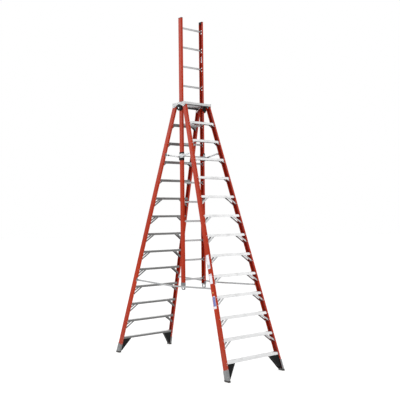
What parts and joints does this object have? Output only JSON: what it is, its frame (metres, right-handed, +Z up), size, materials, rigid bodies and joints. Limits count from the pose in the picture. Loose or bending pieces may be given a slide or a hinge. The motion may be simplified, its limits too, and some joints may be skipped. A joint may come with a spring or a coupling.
{
  "type": "extension ladder",
  "caption": "Self-supporting extension trestle ladder: two stepped sides spread from a hinged head, with an upright fly section that slides through it and locks by its rungs.",
  "frame": {"origin": "on the floor, midway between the four feet", "axes": "+Z up, X along the spread of the two sides with side B at +X, Y across the treads"},
  "size_m": [2.8504, 1.1106, 5.407],
  "materials": {
    "fibreglass": "pultruded glass fibre, orange-red, semi-gloss",
    "tread_metal": "mill-finish extruded, ribbed",
    "brace_metal": "stamped sheet, satin",
    "rivet_metal": "satin",
    "zinc_steel": "zinc plated",
    "rung_metal": "drawn tube, satin",
    "black_plastic": "moulded, fine grain",
    "black_steel": "black paint, satin",
    "black_rubber": "moulded rubber"
  },
  "bodies": {
    "head": {"head_plates": "brace_metal", "top_caps": "tread_metal", "fly_guides": "black_plastic", "head_fasteners": "zinc_steel", "lock_bar": "black_steel"},
    "side_a": {"side_a_near_rail": "fibreglass", "side_a_far_rail": "fibreglass", "side_a_step_01": "tread_metal", "side_a_step_02": "tread_metal", "side_a_step_03": "tread_metal", "side_a_step_04": "tread_metal", "side_a_step_05": "tread_metal", "side_a_step_06": "tread_metal", "side_a_step_07": "tread_metal", "side_a_step_08": "tread_metal", "side_a_step_09": "tread_metal", "side_a_step_10": "tread_metal", "side_a_step_11": "tread_metal", "side_a_step_12": "tread_metal", "side_a_step_13": "tread_metal", "side_a_knee_braces": "brace_metal", "side_a_rivets": "rivet_metal", "side_a_foot_gussets": "black_plastic", "side_a_foot_boots": "brace_metal", "side_a_foot_soles": "black_rubber", "side_a_spreader_brackets": "zinc_steel"},
    "side_b": {"side_b_near_rail": "fibreglass", "side_b_far_rail": "fibreglass", "side_b_step_01": "tread_metal", "side_b_step_02": "tread_metal", "side_b_step_03": "tread_metal", "side_b_step_04": "tread_metal", "side_b_step_05": "tread_metal", "side_b_step_06": "tread_metal", "side_b_step_07": "tread_metal", "side_b_step_08": "tread_metal", "side_b_step_09": "tread_metal", "side_b_step_10": "tread_metal", "side_b_step_11": "tread_metal", "side_b_step_12": "tread_metal", "side_b_step_13": "tread_metal", "side_b_knee_braces": "brace_metal", "side_b_rivets": "rivet_metal", "side_b_foot_gussets": "black_plastic", "side_b_foot_boots": "brace_metal", "side_b_foot_soles": "black_rubber", "side_b_spreader_brackets": "zinc_steel"},
    "lower_bars_a": {"lower_spreader_bars_a": "zinc_steel"},
    "lower_bars_b": {"lower_spreader_bars_b": "zinc_steel"},
    "upper_bars_a": {"upper_spreader_bars_a": "zinc_steel"},
    "upper_bars_b": {"upper_spreader_bars_b": "zinc_steel"},
    "fly": {"fly_near_rail": "fibreglass", "fly_far_rail": "fibreglass", "fly_rungs": "rung_metal", "fly_rung_plates": "rung_metal", "fly_end_plugs": "black_plastic", "fly_boots": "brace_metal"},
    "carriage": {"carriage_brackets": "zinc_steel", "carriage_liners": "black_plastic"},
    "locks": {"rung_locks": "zinc_steel"}
  },
  "joints": [
    {"name": "side_b_fold", "type": "hinge", "parent": "head", "child": "side_b", "pos_m": [0.1246, 0, 4.005], "axis": [0, 1, 0], "range_deg": [0, 17.37]},
    {"name": "side_a_fold", "type": "hinge", "parent": "head", "child": "side_a", "pos_m": [-0.1246, 0, 4.005], "axis": [0, -1, 0], "range_deg": [0, 17.37]},
    {"name": "lower_bars_b_fold", "type": "hinge", "parent": "side_b", "child": "lower_bars_b", "pos_m": [0.9334, 0, 1.23515], "axis": [0, 1, 0], "range_deg": [0, 70.2]},
    {"name": "lower_bars_a_fold", "type": "hinge", "parent": "side_a", "child": "lower_bars_a", "pos_m": [-0.9334, 0, 1.23515], "axis": [0, -1, 0], "range_deg": [0, 70.2]},
    {"name": "upper_bars_b_fold", "type": "hinge", "parent": "side_b", "child": "upper_bars_b", "pos_m": [0.30157, 0, 3.25503], "axis": [0, -1, 0], "range_deg": [0, 92.92]},
    {"name": "upper_bars_a_fold", "type": "hinge", "parent": "side_a", "child": "upper_bars_a", "pos_m": [-0.30157, 0, 3.25503], "axis": [0, 1, 0], "range_deg": [0, 92.92]},
    {"name": "carriage_slide", "type": "slide", "parent": "head", "child": "carriage", "axis": [0, 0, -1], "range_m": [0, 0.2324]},
    {"name": "fly_slide", "type": "slide", "parent": "head", "child": "fly", "axis": [0, 0, 1], "range_m": [-0.9144, 1.524]},
    {"name": "rung_lock_swing", "type": "hinge", "parent": "head", "child": "locks", "pos_m": [-0.055, 0, 3.995], "axis": [0, 1, 0], "range_deg": [0, 88], "stiffness_Nm_per_rad": 0.2, "springref_deg": -45.84}
  ],
  "couplings": [
    {"joint": "side_a_fold", "follows": "side_b_fold", "ratio": 1},
    {"joint": "lower_bars_b_fold", "follows": "side_b_fold", "ratio": 4.0413},
    {"joint": "lower_bars_a_fold", "follows": "side_b_fold", "ratio": 4.0413},
    {"joint": "upper_bars_b_fold", "follows": "side_b_fold", "ratio": 5.3495},
    {"joint": "upper_bars_a_fold", "follows": "side_b_fold", "ratio": 5.3495},
    {"joint": "carriage_slide", "follows": "side_b_fold", "m_per_rad": 0.76488}
  ]
}
